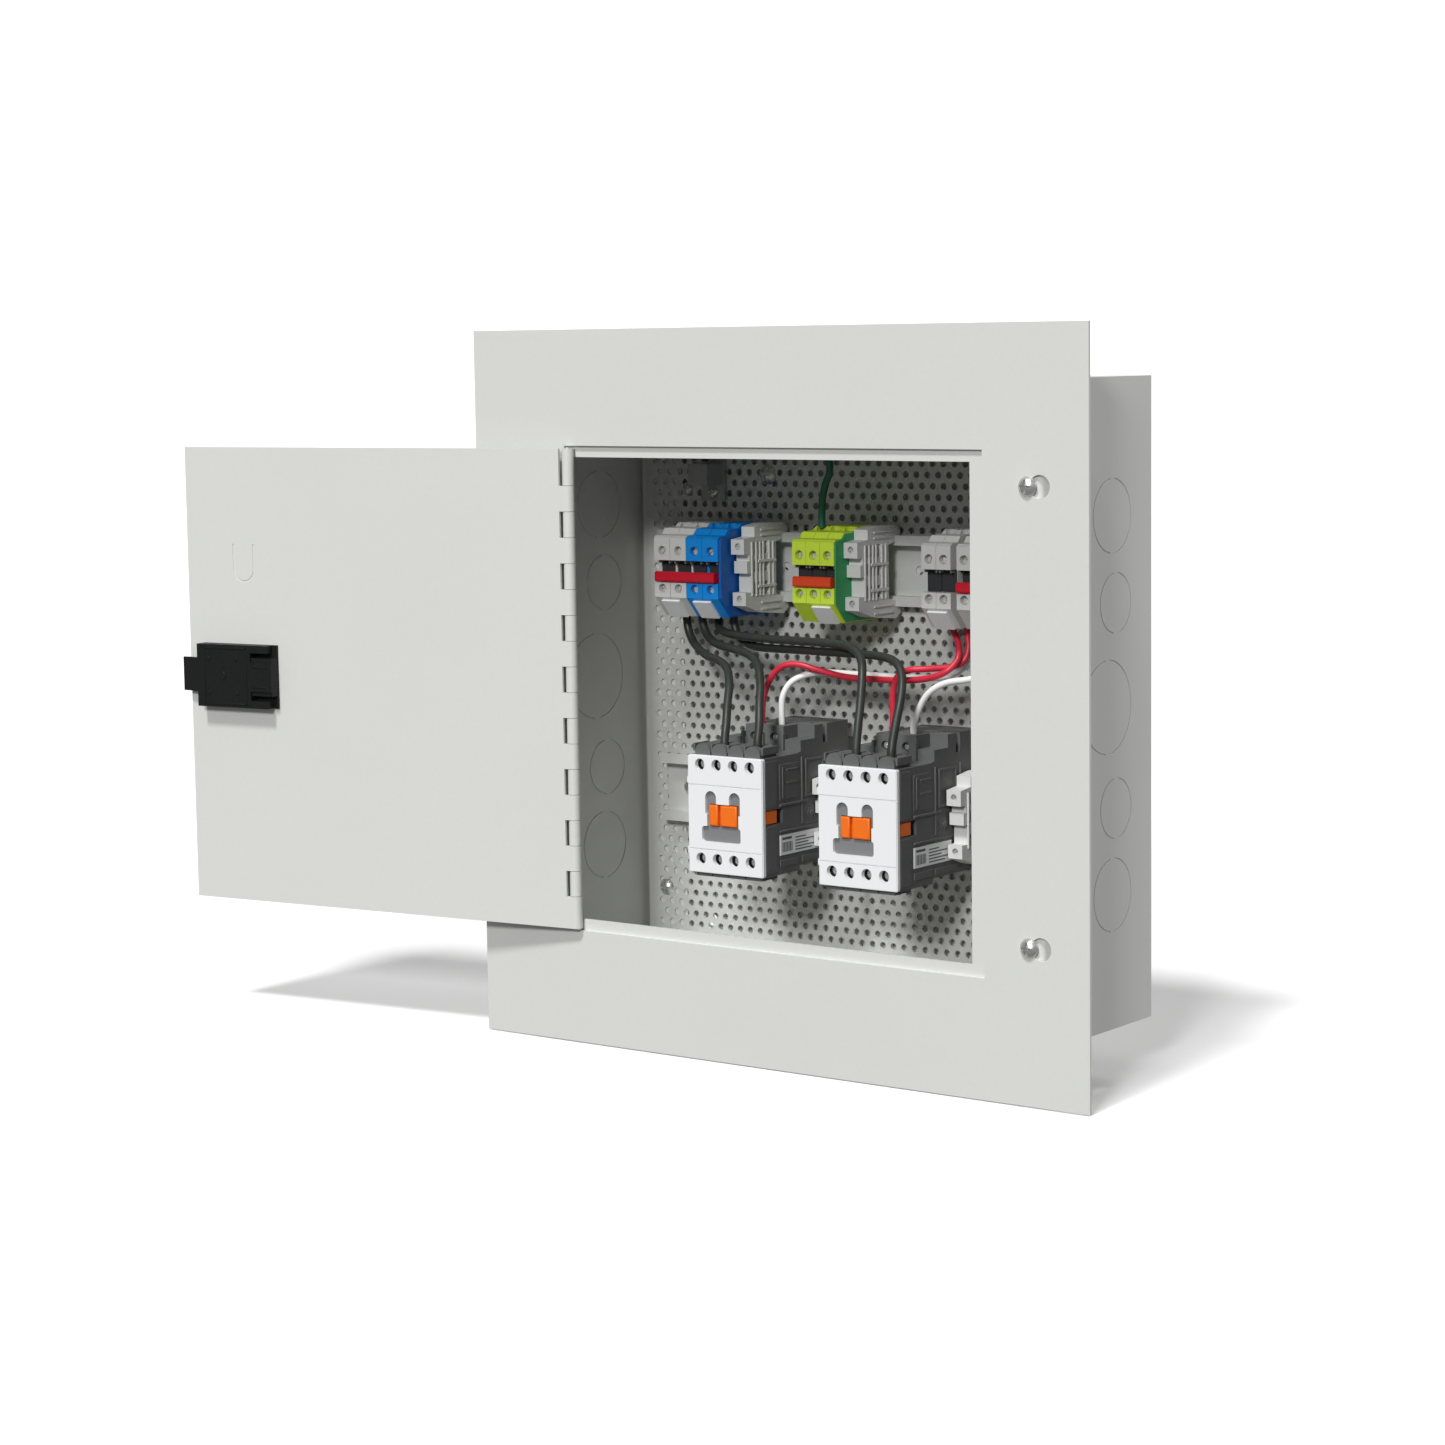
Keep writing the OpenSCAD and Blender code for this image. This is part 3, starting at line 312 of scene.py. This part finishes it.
def perforated_plate():
    """The plate as a honeycomb of cells, each with one twelve-sided hole, filled out to straight edges."""
    row_step = HOLE_PITCH * math.sin(math.radians(60))
    corner_r = HOLE_PITCH / math.sqrt(3)
    width = PLATE_HIGH.x - PLATE_LOW.x
    height = PLATE_HIGH.z - PLATE_LOW.z
    columns = int(width / HOLE_PITCH) - 1
    rows = int(height / row_step) - 1
    bm = bmesh.new()
    shared = {}

    def vertex(x, z):
        key = round(x * 1e5), round(z * 1e5)
        if key not in shared:
            shared[key] = bm.verts.new((x, 0, z))
        return shared[key]

    for row in range(rows):
        z = (row - (rows - 1) / 2) * row_step
        for column in range(columns):
            x = (column - (columns - 1) / 2 + (0.25 if row % 2 else -0.25)) * HOLE_PITCH
            outer, inner = [], []
            for k in range(12):
                angle = math.radians(30 * k)
                reach = corner_r if k % 2 else HOLE_PITCH / 2
                outer.append(vertex(x + reach * math.cos(angle), z + reach * math.sin(angle)))
                inner.append(bm.verts.new((x + HOLE_R * math.cos(angle), 0, z + HOLE_R * math.sin(angle))))
            for k in range(12):
                n = (k + 1) % 12
                bm.faces.new((outer[k], outer[n], inner[n], inner[k]))
    outline = set(shared.values())
    rim = [e for e in bm.edges if e.is_boundary and e.verts[0] in outline and e.verts[1] in outline]
    signs = ((-1, -1), (1, -1), (1, 1), (-1, 1))
    corners = [bm.verts.new((sx * width / 2, 0, sz * height / 2)) for sx, sz in signs]
    border = [bm.edges.new((corners[k], corners[(k + 1) % 4])) for k in range(4)]
    bmesh.ops.triangle_fill(bm, edges=rim + border, use_beauty=False, use_dissolve=False)
    bmesh.ops.recalc_face_normals(bm, faces=bm.faces)
    mesh = bpy.data.meshes.new("perforated_sheet")
    bm.to_mesh(mesh)
    bm.free()
    middle = (PLATE_LOW + PLATE_HIGH) / 2
    for v in mesh.vertices:
        v.co += middle
    obj = piece("perforated_sheet", mesh, ZINC, "cabinet", smooth=False)
    thick = obj.modifiers.new("thickness", "SOLIDIFY")
    thick.thickness = PLATE_HIGH.y - PLATE_LOW.y
    thick.offset = 0
    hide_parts("perforated_plate")


perforated_plate()


# ---- Terminal blocks ----

# An end clamp's width, and how far its upper foot stands in front of the rail's lips
CLAMP_W, CLAMP_FRONT = 8, 33
UPPER_LIP, UPPER_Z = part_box("upper_din_rail")[0].y, sum(v.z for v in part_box("upper_din_rail")) / 2
LOWER_LIP, LOWER_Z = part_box("lower_din_rail")[0].y, sum(v.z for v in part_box("lower_din_rail")) / 2
TERMINAL_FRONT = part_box("terminals_blue")[0].y
# One block's side, in millimetres behind the rail's lips and above its middle
TERMINAL_SIDE = [
    (-39.6, -13.6), (-38.2, -15.2), (-31, -23.2), (0, -23.2), (0, 21.8), (-19.5, 21.8), (-22, 20),
    (-31, 19.6), (-33.4, 17), (-38.2, 16.6), (-39.6, 15.4)]
GROUPS = {"terminals_grey_left": 2, "terminals_blue": 2, "terminals_ground": 3}


def block_centres(node):
    """The middles of a group's blocks, spread evenly over the group's width."""
    low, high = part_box(node)
    count = GROUPS[node]
    pitch = (high.x - low.x + 0.2 * MM) / count
    return [low.x - 0.1 * MM + pitch * (k + 0.5) for k in range(count)]


def right_group_centres():
    """The right group is two pairs of blocks with a gap between them."""
    low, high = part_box("terminals_grey_right")
    half, pitch = 4.05 * MM, 8.3 * MM
    return [low.x + half, low.x + half + pitch, high.x - half - pitch, high.x - half]


def terminal_details():
    """Slotted clamp screws, dark blocks of painted shade at the back of the jumper channels, the channels'
    ribs, and the end plates of two groups.
    """
    centres = [x for node in GROUPS for x in block_centres(node)] + right_group_centres()
    screws, channel_shade, ribs = bmesh.new(), bmesh.new(), bmesh.new()
    for k, x in enumerate(centres):
        for s in (-1, 1):
            face = Vector((x, TERMINAL_FRONT, UPPER_Z)) + mm(0, 2.6, s * 9.5)
            add_slotted_head(screws, face, 2.1 * MM, 12 * MM, tilt=35 + 53 * k + 20 * s)
        face = Vector((x, TERMINAL_FRONT, UPPER_Z))
        # Painted shade: a dark block at the back of each jumper channel stands in for the shadow in the
        # recess
        add_block(channel_shade, face + mm(-3.9, 5.2, -6.2), face + mm(3.9, 6.1, 4.5))
        for side in (-1, 1):
            add_block(ribs, face + mm(side * 3.2 - 0.35, 1.6, 3), face + mm(side * 3.2 + 0.35, 6.1, 4.7))
    heads = finish("terminal_clamp_screws", screws, NICKEL, "cabinet", 0.1)
    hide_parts("terminal_screws")
    finish("jumper_channel_painted_shade", channel_shade, SHADOW, "cabinet")
    finish("channel_ribs", ribs, MID_GREY, "cabinet", 0.1)
    # The blue group's end plate takes the darker copy of the blocks' blue: painted shade on the group's
    # side
    for node, look, slot, thick in (("terminals_blue", BLUE_PAINTED_SHADE, "blue_plastic", 1.5),
                                    ("terminals_ground", GREEN, "green_plastic", 0.7)):
        plate = bmesh.new()
        edge = Vector((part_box(node)[1].x, UPPER_LIP, UPPER_Z)) + mm(0.1, 0, 0)
        add_prism(plate, [edge + mm(0, y, z) for y, z in TERMINAL_SIDE], mm(thick, 0, 0))
        finish(node.replace("terminals", "end_plate"), plate, look, "cabinet", 0.2)


def clamp_details(node, centres, lip, middle):
    """Ribs on the end clamps' right sides and a screw in each of their two feet."""
    ribs, screws = bmesh.new(), bmesh.new()
    for k, x in enumerate(centres):
        at = Vector((x, lip, middle))
        side = at + mm(CLAMP_W / 2, 0, 0)
        for y in (-27.2, -23.6, -20.4, -17.6, -12.6, -9.2):
            add_block(ribs, side + mm(-0.2, y, -13), side + mm(0.7, y + 0.8, 14))
        for z in (-20.4, -17, 16.6, 19.4):
            add_block(ribs, side + mm(-0.2, -19, z), side + mm(0.6, -3, z + 0.9))
        for z in (-9, 3.6):
            add_block(ribs, side + mm(-0.2, -22, z), side + mm(1.0, -7, z + 1.4))
        for z in (12, -14.3):
            face = at + mm(0, 1.4 - (CLAMP_FRONT if z > 0 else CLAMP_FRONT - 1), z)
            add_slotted_head(screws, face, 1.5 * MM, 6 * MM, tilt=40 * k)
    finish(node + "_ribs", ribs, CLAMP_GREY, "cabinet", 0.12)
    finish(node + "_screws", screws, NICKEL, "cabinet")


def clamp_centres(node, inner):
    """The outermost two clamps end at the node's box, and any inner one is where inner says."""
    low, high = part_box(node)
    half = CLAMP_W / 2 * MM
    return [low.x + half, *inner, high.x - half]


terminal_details()
# The middle upper clamp stands against the ground group's end
against_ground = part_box("terminals_ground")[1].x + 5.05 * MM
upper_clamps = clamp_centres("end_clamps_upper", [against_ground])
clamp_details("end_clamps_upper", upper_clamps, UPPER_LIP, UPPER_Z)
clamp_details("end_clamps_lower", clamp_centres("end_clamps_lower", []), LOWER_LIP, LOWER_Z)


# ---- Contactors ----

# Raised mouldings on a contactor's sides: from and to behind the cover's front, from and to in height,
# and thickness
SIDE_MOULDINGS = [
    (3.2, 12.6, 4.6, 27.4, 0.3), (3.2, 12.6, -27.4, -4.6, 0.3), (14.6, 30, 7.4, 25, 0.25),
    (14.6, 38, 4.4, 5.6, 0.8), (16.8, 18, 8.6, 23.6, 0.6), (20.4, 30, 15, 16, 0.6),
    (20.4, 30, 21.4, 22.4, 0.6), (14.6, 52, -8.4, -7.4, 0.7), (33, 34.2, -6, 27, 0.6),
    (36.4, 52, 24.4, 25.6, 0.6), (36.4, 37.6, 8, 24.6, 0.6), (50.8, 52, 8, 24.6, 0.6),
    (36.4, 52, 7, 8.2, 0.6),
    (55, 73, 13, 14, 0.5), (55, 73, 17, 18, 0.5), (55, 73, 21, 22, 0.5),
    (55, 56.2, -24, 27, 0.6), (14.6, 30.4, -25.4, -22, 0.4), (33, 52, -25, -22, 0.4)]


def contactor_details(n):
    """Side mouldings, pole fins, the carrier's rounded faces and the plain bars on the rating plate."""
    base_low, base_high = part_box(f"contactor_{n}_base")
    cover_low, cover_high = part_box(f"contactor_{n}_cover")
    half = (base_high.x - base_low.x) / 2
    at = Vector(((base_low.x + base_high.x) / 2, cover_low.y, (cover_low.z + cover_high.z) / 2))
    sides = bmesh.new()
    for s in (-1, 1):
        wall = at + Vector((s * half, 0, 0))
        for y0, y1, z0, z1, thick in SIDE_MOULDINGS:
            inner, outer = sorted((-0.2 * s, thick * s))
            add_block(sides, wall + mm(inner, y0, z0), wall + mm(outer, y1, z1))
        for y, z, r in ((41, -1.4, 3), (48.4, 0.6, 2.4)):
            add_rod(sides, wall + mm(-0.2 * s, y, z), wall + mm(0.4 * s, y, z), r * MM)
            add_rod(sides, wall + mm(-0.2 * s, y, z), wall + mm(0.9 * s, y, z), r * 0.5 * MM)
    # Fins between the poles, and three beside the coil's clamp screws
    for x in (-20.6, -10, 0, 10, 20.6):
        add_block(sides, at + mm(x - 0.5, 3, 30.6), at + mm(x + 0.5, 15.4, 34.4))
    for x in (-12.2, 0, 12.2):
        add_block(sides, at + mm(x - 0.6, 31.4, 29.4), at + mm(x + 0.6, 34, 38))
    finish(f"contactor_{n}_mouldings", sides, CHARCOAL, "cabinet", 0.15)

    faces = bmesh.new()
    add_block(faces, at + mm(-9.8, 0.1, -5.4), at + mm(-4.7, 1.6, 4.9))
    add_block(faces, at + mm(-3.1, 0.1, -5.4), at + mm(6.8, 1.6, 4.9))
    finish(f"contactor_{n}_carrier_faces", faces, ORANGE, f"contactor_{n}_moving", 0.7)

    low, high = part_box(f"contactor_{n}_label")
    front = Vector((high.x, low.y, low.z))
    ink = bmesh.new()
    sunk, proud = -0.1, 0.04
    for k in range(11):
        y = 1.6 + 0.8 * k
        add_block(ink, front + mm(sunk, y, 1.4), front + mm(proud, y + 0.3 + 0.14 * (k % 3), 6.2))
    for k, length in enumerate((14, 17, 11, 16, 9)):
        z = 1.2 + 1.5 * k
        add_block(ink, front + mm(sunk, 12.6, z), front + mm(proud, 12.6 + length, z + 0.6))
    add_block(ink, front + mm(sunk, 1.6, 7.4), front + mm(proud, 9.6, 8.6))
    finish(f"contactor_{n}_print", ink, INK, "cabinet")


for number in (1, 2):
    contactor_details(number)


# ---- Latch ----

def latch_details():
    """A raised rim and ribs moulded on the back of the latch's case, placed on the open door."""
    hinge = next(j for j in frame["record"]["behaviour"]["joints"] if j["name"] == "door_hinge")
    pin = Vector(hinge["pos_m"])
    place = (Matrix.Translation(pin) @ Matrix.Rotation(-math.radians(hinge["range_deg"][1]), 4, "Z")
             @ Matrix.Translation(-pin))
    # The pin's axis stands 1.5 mm in front of the trim's face
    trim_face = pin.y + 1.5 * MM
    # They start just inside the case's back, which is 8.2 mm behind the trim's face when the door is shut
    face, proud = Vector((0, trim_face, 0)) + mm(0, 8.1, 0), 0.4
    rim = bmesh.new()
    spans = [((79, -15.2), (107.4, -14.2)), ((79, 14.2), (107.4, 15.2)), ((106.4, -15.2), (107.4, 15.2)),
             ((66.4, -5.6), (76, -4.8)), ((66.4, 4.8), (76, 5.6)), ((79, -15.2), (80, 15.2))]
    for (x0, z0), (x1, z1) in spans:
        add_block(rim, face + mm(x0, 0, z0), face + mm(x1, proud, z1))
    for x, z, r in ((95, 0, 2.2), (86, 9, 1.2), (86, -9, 1.2), (104, 9, 1.2), (104, -9, 1.2)):
        centre = face + mm(x, 0, z)
        add_rod(rim, centre, centre + mm(0, proud, 0), r * MM)
    bmesh.ops.transform(rim, matrix=place, verts=rim.verts)
    finish("latch_mouldings", rim, BLACK, "door", 0.12)


latch_details()


# ---- Wires ----

def wire(name, points, diameter, look, node):
    """One insulated wire along its route, given in millimetres."""
    curve = bpy.data.curves.new(name, "CURVE")
    curve.dimensions = "3D"
    curve.bevel_depth = diameter / 2 * MM
    curve.bevel_resolution = 5
    curve.resolution_u = 8
    curve.use_fill_caps = True
    spline = curve.splines.new("BEZIER")
    spline.bezier_points.add(len(points) - 1)
    places = [Vector(p) * MM for p in points]
    for i, p in enumerate(spline.bezier_points):
        before, after = places[max(i - 1, 0)], places[min(i + 1, len(places) - 1)]
        lean = (after - before) / 6
        p.co = places[i]
        p.handle_left, p.handle_right = places[i] - lean, places[i] + lean
    curve.materials.append(look)
    obj = bpy.data.objects.new(name, curve)
    scene.collection.objects.link(obj)
    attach(obj, "cabinet")
    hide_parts(node)


LOAD_WIRE, CONTROL_WIRE, GROUND_WIRE = 4.2, 3.2, 3.6
# Each wire's CAD node and its route in millimetres, the same points as in part.scad
ROUTES = {
    "black_wire_1": ("black_wires_1", [
        (-98, -34.8, 35.6), (-98, -34.8, 30), (-96, -35.5, 24), (-91, -37.5, 18.5), (-80, -43, 14),
        (-66, -51, 12.5), (-56, -57.5, 9), (-49.5, -65, 2), (-45.5, -72, -6.5), (-42, -78, -15.5),
        (-40.4, -81.6, -23), (-40.2, -82.1, -29)]),
    "black_wire_2": ("black_wires_1", [
        (-88, -34.8, 35.6), (-88, -34.8, 30), (-84, -36.5, 23.5), (-75, -40, 19.5), (-60, -46, 18),
        (-46, -53, 16.5), (-36, -59.5, 12.5), (-29, -67, 4), (-24.5, -74, -5), (-21.2, -79, -14),
        (-20.2, -81.8, -22), (-20.2, -82.1, -29)]),
    "black_wire_3": ("black_wires_2", [
        (-78, -34.8, 35.6), (-78, -34.8, 31), (-74.5, -38, 27), (-64, -42, 25), (-45, -45.5, 24.2),
        (-19, -49.3, 24.2), (6, -53.3, 24.2), (18.5, -57, 23), (26.5, -61, 18.5), (31, -66.5, 11),
        (34.2, -73, -2), (36.4, -78.5, -13), (37.6, -81.8, -22), (37.8, -82.1, -29)]),
    "black_wire_4": ("black_wires_2", [
        (-68, -34.8, 35.6), (-68, -34.8, 29.5), (-64, -36, 23), (-50, -40.5, 19.3), (-21, -45.3, 19.3),
        (17, -51.2, 19.5), (35, -56, 19.5), (46, -60, 17.5), (52, -64, 12), (55.6, -70, 3),
        (57, -77, -10), (57.7, -81.6, -21), (57.8, -82.1, -29)]),
    "red_wire_1": ("red_wires", [
        (61.6, -34.8, 35.6), (62, -34.9, 32.5), (65, -36, 28.5), (68, -38.5, 24), (69.5, -42.5, 18),
        (65.5, -47.2, 12.5), (55, -47.5, 9), (38, -44, 7), (22, -42, 6.6), (4.5, -41.4, 6.8),
        (-11, -43, 9.6), (-21, -45.2, 12), (-29, -47, 11.3), (-35.5, -48, 6), (-39.8, -48.8, -3),
        (-41.2, -49, -12), (-41.2, -49, -19)]),
    "red_wire_2": ("red_wires", [
        (69.9, -34.8, 35.6), (70.5, -35, 30), (71.5, -35.5, 24), (70.5, -37.5, 18), (65.7, -41, 14.8),
        (54, -44.4, 13.4), (45, -47.4, 12.6), (39.2, -48.6, 9), (36.9, -49, 1), (36.8, -49, -8),
        (36.8, -49, -19)]),
    "white_wire_1": ("white_wires", [
        (81.4, -34.8, 35.6), (80.5, -34, 31), (76, -31.5, 27), (72.5, -31, 21), (69, -32, 15.5),
        (60.5, -34.6, 9.8), (44, -35.6, 7.8), (19, -36.2, 7.8), (2, -36.6, 8), (-12, -38.6, 8),
        (-20.5, -42.2, 6.4), (-26, -46.2, 2.6), (-28.8, -48.6, -4), (-29.2, -49, -12), (-29.2, -49, -19)]),
    "white_wire_2": ("white_wires", [
        (89.7, -34.8, 35.6), (90, -35, 29), (89.5, -37.5, 20), (86, -41, 13.5), (78.8, -44.6, 9.8),
        (66, -47, 7.4), (57.5, -48.8, 2.4), (52, -49, -5.5), (48.8, -49, -14), (48.8, -49, -19)]),
    "green_wire": ("ground_wire", [
        (-13.7, -34.8, 79.4), (-13.7, -34.8, 86), (-12, -36.5, 93.5), (-8.5, -39, 100.5),
        (-4.5, -41, 107), (-4, -42.5, 114), (-9, -43, 119.5), (-18, -42, 122), (-36, -38, 123),
        (-58, -33, 122.5), (-78, -27, 121.5), (-91, -20.5, 119.5), (-98, -16.6, 115.5),
        (-99.5, -15.6, 110.5)]),
}
WIRE_LOOKS = {
    "black": (LOAD_WIRE, BLACK_PVC, "black_insulation"),
    "red": (CONTROL_WIRE, RED_PVC, "red_insulation"),
    "white": (CONTROL_WIRE, WHITE_PVC, "white_insulation"),
    "green": (GROUND_WIRE, GREEN_PVC, "green_insulation"),
}
for wire_name, (wire_node, route) in ROUTES.items():
    size, look, wire_slot = WIRE_LOOKS[wire_name.split("_")[0]]
    wire(wire_name, route, size, look, wire_node)


# ---- Floor and light ----

SURROUND = 0.2
# In metres: where the floor starts to rise behind and in front, how high it goes, and half its width
FLOOR_BACK, FLOOR_FRONT, FLOOR_TOP, FLOOR_HALF_W = 2.2, -7, 9, 9
FLOOR_GAP = 0.5 * MM


def make_floor():
    """A pale floor just under the trim's lower edge, curving up far behind and far in front."""
    level = TRIM_LOW.z - FLOOR_GAP
    bm = bmesh.new()
    bends = [math.radians(a) for a in range(10, 91, 10)]
    curve = [(math.sin(a), 1 - math.cos(a)) for a in bends] + [(1, FLOOR_TOP)]
    profile = [(FLOOR_FRONT - y, z) for y, z in reversed(curve)]
    profile += [(FLOOR_FRONT, 0), (FLOOR_BACK, 0)]
    profile += [(FLOOR_BACK + y, z) for y, z in curve]
    rings = [[bm.verts.new((x, y, z + level)) for y, z in profile] for x in (-FLOOR_HALF_W, FLOOR_HALF_W)]
    for k in range(len(profile) - 1):
        bm.faces.new((rings[0][k], rings[1][k], rings[1][k + 1], rings[0][k + 1]))
    mesh = bpy.data.meshes.new("floor")
    bm.to_mesh(mesh)
    bm.free()
    floor = bpy.data.objects.new("floor", mesh)
    scene.collection.objects.link(floor)
    for polygon in mesh.polygons:
        polygon.use_smooth = True
    look = material("floor", srgb(246, 246, 246), rough=0.9, vary=0.004, bump=0.0, shine=0.1)
    mesh.materials.append(look)
    # Turned so that the curve stands behind the object as the camera sees it
    floor.rotation_euler.z = math.radians(AZIMUTH)
    # The floor neither lights the inside of the box from below nor keeps the distant lights out
    floor.visible_diffuse = False
    floor.visible_glossy = False
    floor.visible_shadow = False


def sun(name, azimuth, elevation, strength, spread):
    """A soft distant light. Azimuth 0 comes from in front of the object, positive from its right."""
    data = bpy.data.lights.new(name, "SUN")
    data.energy = strength * math.pi
    data.angle = math.radians(spread)
    light = bpy.data.objects.new(name, data)
    a, e = math.radians(azimuth), math.radians(elevation)
    toward = Vector((math.sin(a) * math.cos(e), -math.cos(a) * math.cos(e), math.sin(e)))
    light.rotation_euler = (-toward).to_track_quat("-Z", "Y").to_euler()
    scene.collection.objects.link(light)


def make_lights():
    """A key light from high in front, three weaker ones around the object, and a pale surround."""
    world = bpy.data.worlds.new("surround")
    world.use_nodes = True
    world.node_tree.nodes["Background"].inputs["Color"].default_value = (1, 1, 1, 1)
    world.node_tree.nodes["Background"].inputs["Strength"].default_value = SURROUND
    scene.world = world
    sun("key_light", 4, 58, 0.72, 9)
    sun("front_light", 18, 25, 0.5, 10)
    sun("side_light", 100, 25, 0.23, 30)
    sun("back_light", 180, 30, 0.45, 30)


make_floor()
make_lights()
